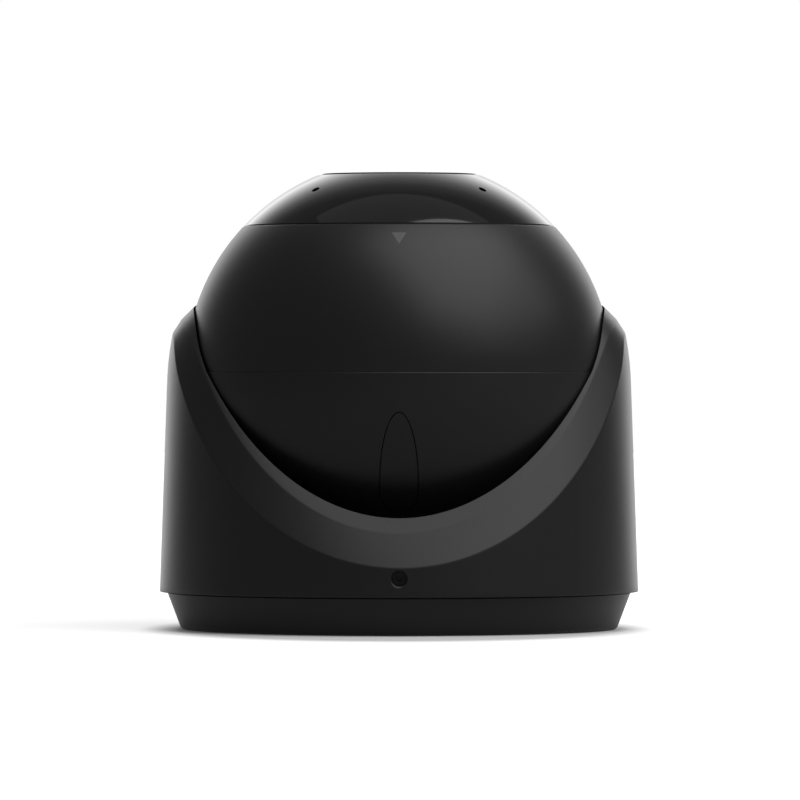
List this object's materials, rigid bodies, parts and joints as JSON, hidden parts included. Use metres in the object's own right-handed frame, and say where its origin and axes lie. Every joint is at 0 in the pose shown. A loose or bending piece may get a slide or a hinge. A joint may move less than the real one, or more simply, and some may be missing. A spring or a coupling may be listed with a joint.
{
  "type": "turret security camera",
  "caption": "Turret camera: a ball with dark gloss front cover that tilts and rolls in a scooped housing, which pans on a round wall foot.",
  "frame": {"origin": "centre of the wall face of the mounting foot", "axes": "+Z out of the wall, along the lens at rest; -Y towards the scooped side of the housing; +X to the right seen from there"},
  "size_m": [0.11, 0.11, 0.1045],
  "materials": {
    "housing_plastic": "fine satin moulded texture, black",
    "gloss_cover": "polished, infrared-transparent black",
    "optical_glass": "clear, coated",
    "soft_rubber": "moulded rubber",
    "foam": "closed-cell foam",
    "screw_steel": "stainless",
    "spring_steel": "pressed steel",
    "acetal": "natural acetal",
    "cast_aluminium": "as cast",
    "circuit_board": "green solder mask",
    "chip_black": "moulded epoxy",
    "heat_pad_grey": "silicone pad",
    "can_aluminium": "drawn can",
    "lamp_resin": "clear resin",
    "mirror_cup": "metallised",
    "film": "polyester film"
  },
  "bodies": {
    "base": {"mounting_foot": "housing_plastic", "wall_gasket": "foam", "cable_grommet": "soft_rubber", "snap_ring": "screw_steel", "foot_seal": "soft_rubber"},
    "turret": {"turret_shell": "housing_plastic"},
    "lock": {"lock_screw": "screw_steel"},
    "cradle": {"tilt_cradle": "spring_steel", "pivot_pins": "screw_steel", "roll_washer": "acetal"},
    "ball": {"board_connector": "chip_black", "board_spacers": "acetal", "bracket_posts": "cast_aluminium", "bracket_screws": "screw_steel", "chassis_plate": "cast_aluminium", "chassis_screws": "screw_steel", "cover_screws": "screw_steel", "cover_seal": "soft_rubber", "flat_cable": "film", "front_ball_shell": "housing_plastic", "front_cover": "gloss_cover", "heat_pad": "heat_pad_grey", "image_sensor": "chip_black", "infrared_lamps": "lamp_resin", "lamp_board": "circuit_board", "lamp_cups": "mirror_cup", "lamp_posts": "acetal", "lens_barrel": "chip_black", "lens_bracket": "cast_aluminium", "lens_glass": "optical_glass", "lens_holder": "chip_black", "lens_window": "optical_glass", "light_baffle": "soft_rubber", "light_sensor": "lamp_resin", "main_board": "circuit_board", "memory_chips": "chip_black", "microphone_boots": "soft_rubber", "microphones": "can_aluminium", "neck_gland": "soft_rubber", "neck_nut": "spring_steel", "network_transformer": "chip_black", "nut_washer": "acetal", "power_board": "circuit_board", "power_capacitors": "can_aluminium", "processor": "chip_black", "rear_ball_shell": "housing_plastic", "reset_board": "circuit_board", "reset_switch": "chip_black", "sensor_board": "circuit_board", "sensor_screws": "screw_steel", "shell_seal": "soft_rubber", "tie_screws": "screw_steel", "window_gasket": "soft_rubber"},
    "button": {"reset_button": "acetal"},
    "cover": {"service_cover": "soft_rubber"}
  },
  "joints": [
    {"name": "pan", "type": "hinge", "parent": "base", "child": "turret", "pos_m": [0, 0, 0], "axis": [0, 0, 1], "range_deg": [-180, 180]},
    {"name": "lock_turn", "type": "hinge", "parent": "turret", "child": "lock", "pos_m": [0, -0.0529, 0.0129], "axis": [0, -1, 0], "range_deg": [0, 360]},
    {"name": "tilt", "type": "hinge", "parent": "turret", "child": "cradle", "pos_m": [0, 0, 0.059], "axis": [1, 0, 0], "range_deg": [0, 80]},
    {"name": "roll", "type": "hinge", "parent": "cradle", "child": "ball", "pos_m": [0, 0, 0.059], "axis": [0, 0, 1], "range_deg": [-180, 180]},
    {"name": "reset_press", "type": "slide", "parent": "ball", "child": "button", "axis": [0, 0.9205, 0.3907], "range_m": [0, 0.0004], "stiffness_N_per_m": 1500},
    {"name": "cover_pull", "type": "slide", "parent": "ball", "child": "cover", "axis": [0, -0.9205, -0.3907], "range_m": [0, 0.005]}
  ]
}
